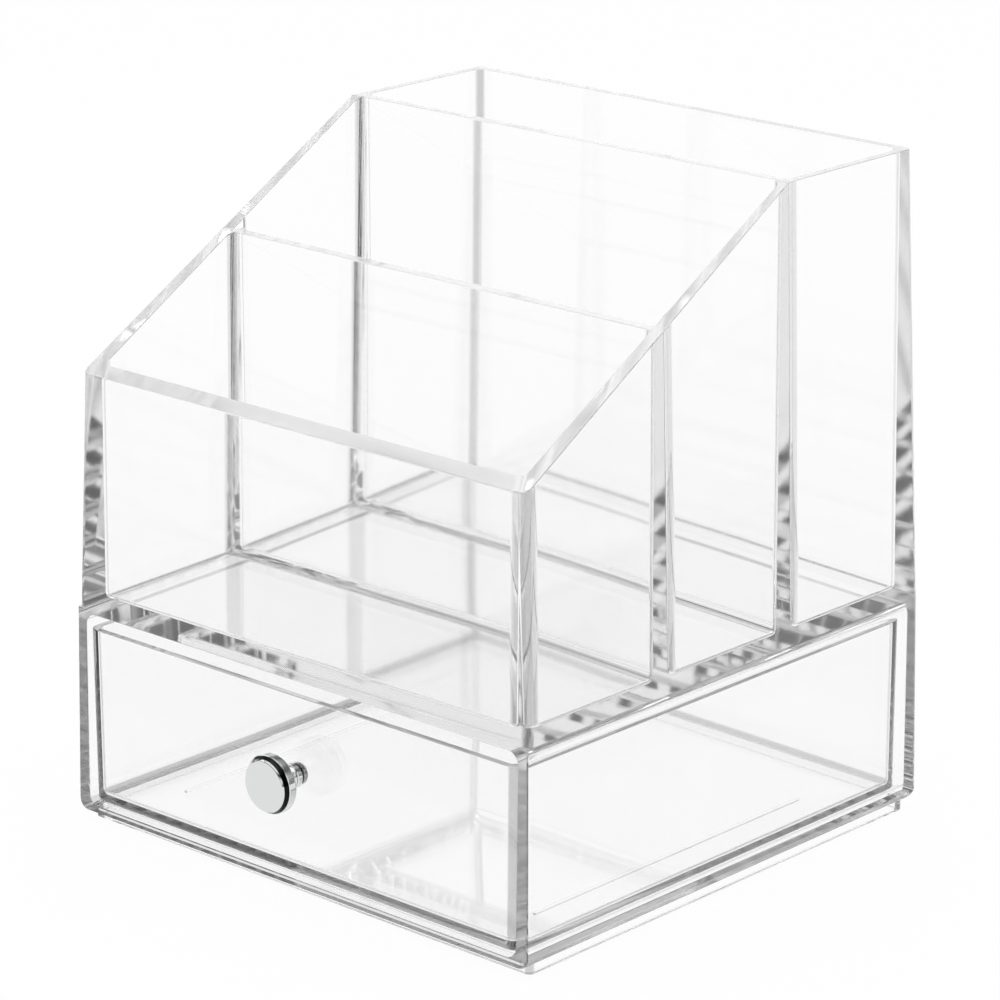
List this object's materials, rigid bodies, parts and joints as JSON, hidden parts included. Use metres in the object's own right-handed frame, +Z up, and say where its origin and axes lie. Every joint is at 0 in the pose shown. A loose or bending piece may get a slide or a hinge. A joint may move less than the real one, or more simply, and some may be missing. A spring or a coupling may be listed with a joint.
{
  "type": "brush holder with drawer",
  "caption": "Clear plastic make-up brush holder with stepped upright compartments under a sloping rim, over a sliding drawer with a round metal knob.",
  "frame": {"origin": "on the resting plane, under the middle of the whole footprint with the drawer shut and the knob included", "axes": "+Z up, -Y the way the drawer opens (front), +X to the right seen from the front"},
  "size_m": [0.1562, 0.1614, 0.1758],
  "materials": {
    "clear_body": "water-clear moulded polystyrene or acrylic, polished",
    "clear_drawer": "water-clear moulded polystyrene or acrylic, polished",
    "polished_metal": "mirror-bright chrome",
    "screw_metal": "zinc-plated steel"
  },
  "bodies": {
    "holder": {"organiser": "clear_body", "drawer_case": "clear_body"},
    "tray": {"drawer": "clear_drawer", "knob": "polished_metal", "knob_screw": "screw_metal"}
  },
  "joints": [
    {"name": "drawer_slide", "type": "slide", "parent": "holder", "child": "tray", "axis": [0, -1, 0], "range_m": [0, 0.12]}
  ]
}
